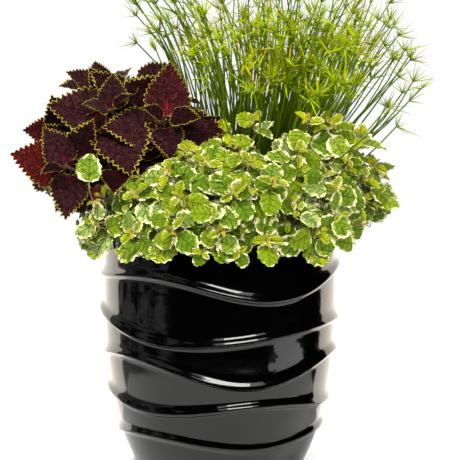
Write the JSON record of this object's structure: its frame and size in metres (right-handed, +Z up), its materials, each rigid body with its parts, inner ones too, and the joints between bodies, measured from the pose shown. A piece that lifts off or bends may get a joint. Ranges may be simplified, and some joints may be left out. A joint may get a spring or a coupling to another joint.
{
  "type": "potted swedish ivy",
  "caption": "Mixed container planting: white-edged Swedish ivy spilling over a ridged, glazed black planter, with dark purple coleus and dwarf papyrus behind it.",
  "frame": {"origin": "middle of the planter's flat foot, on the ground", "axes": "+Z up along the planter's axis; the planting's front, where the ivy spills over the rim, faces -Y; +X to the viewer's right"},
  "size_m": [0.6715, 0.5996, 0.8549],
  "materials": {
    "black_glaze": "gloss",
    "potting_mix": "matte",
    "coleus_leaf": "satin",
    "papyrus_green": "satin",
    "ivy_leaf": "satin"
  },
  "bodies": {
    "root": {"planter": "black_glaze", "potting_mix": "potting_mix", "coleus_shoot_1": "coleus_leaf", "coleus_shoot_2": "coleus_leaf", "coleus_shoot_3": "coleus_leaf", "coleus_shoot_4": "coleus_leaf", "coleus_shoot_5": "coleus_leaf", "coleus_shoot_6": "coleus_leaf", "coleus_shoot_7": "coleus_leaf", "coleus_shoot_8": "coleus_leaf", "coleus_shoot_9": "coleus_leaf", "coleus_shoot_10": "coleus_leaf", "coleus_shoot_11": "coleus_leaf", "papyrus_tuft_01": "papyrus_green", "papyrus_tuft_02": "papyrus_green", "papyrus_tuft_03": "papyrus_green", "papyrus_tuft_04": "papyrus_green", "papyrus_tuft_05": "papyrus_green", "papyrus_tuft_06": "papyrus_green", "papyrus_tuft_07": "papyrus_green", "papyrus_tuft_08": "papyrus_green", "papyrus_tuft_09": "papyrus_green", "papyrus_tuft_10": "papyrus_green", "papyrus_tuft_11": "papyrus_green", "papyrus_tuft_12": "papyrus_green", "ivy_runner_01": "ivy_leaf", "ivy_runner_02": "ivy_leaf", "ivy_runner_03": "ivy_leaf", "ivy_runner_04": "ivy_leaf", "ivy_runner_05": "ivy_leaf", "ivy_runner_06": "ivy_leaf", "ivy_runner_07": "ivy_leaf", "ivy_runner_08": "ivy_leaf", "ivy_runner_09": "ivy_leaf", "ivy_runner_10": "ivy_leaf", "ivy_runner_11": "ivy_leaf", "ivy_runner_12": "ivy_leaf", "ivy_runner_13": "ivy_leaf", "ivy_runner_14": "ivy_leaf", "ivy_runner_15": "ivy_leaf", "ivy_runner_16": "ivy_leaf", "ivy_runner_17": "ivy_leaf", "ivy_runner_18": "ivy_leaf", "ivy_runner_19": "ivy_leaf", "ivy_runner_20": "ivy_leaf", "ivy_runner_21": "ivy_leaf", "ivy_runner_22": "ivy_leaf", "ivy_runner_23": "ivy_leaf", "ivy_runner_24": "ivy_leaf", "ivy_runner_25": "ivy_leaf", "ivy_runner_26": "ivy_leaf", "ivy_runner_27": "ivy_leaf", "ivy_runner_28": "ivy_leaf", "ivy_runner_29": "ivy_leaf", "ivy_runner_30": "ivy_leaf", "ivy_runner_31": "ivy_leaf", "ivy_runner_32": "ivy_leaf", "ivy_runner_33": "ivy_leaf", "ivy_runner_34": "ivy_leaf", "ivy_runner_35": "ivy_leaf"}
  },
  "joints": []
}
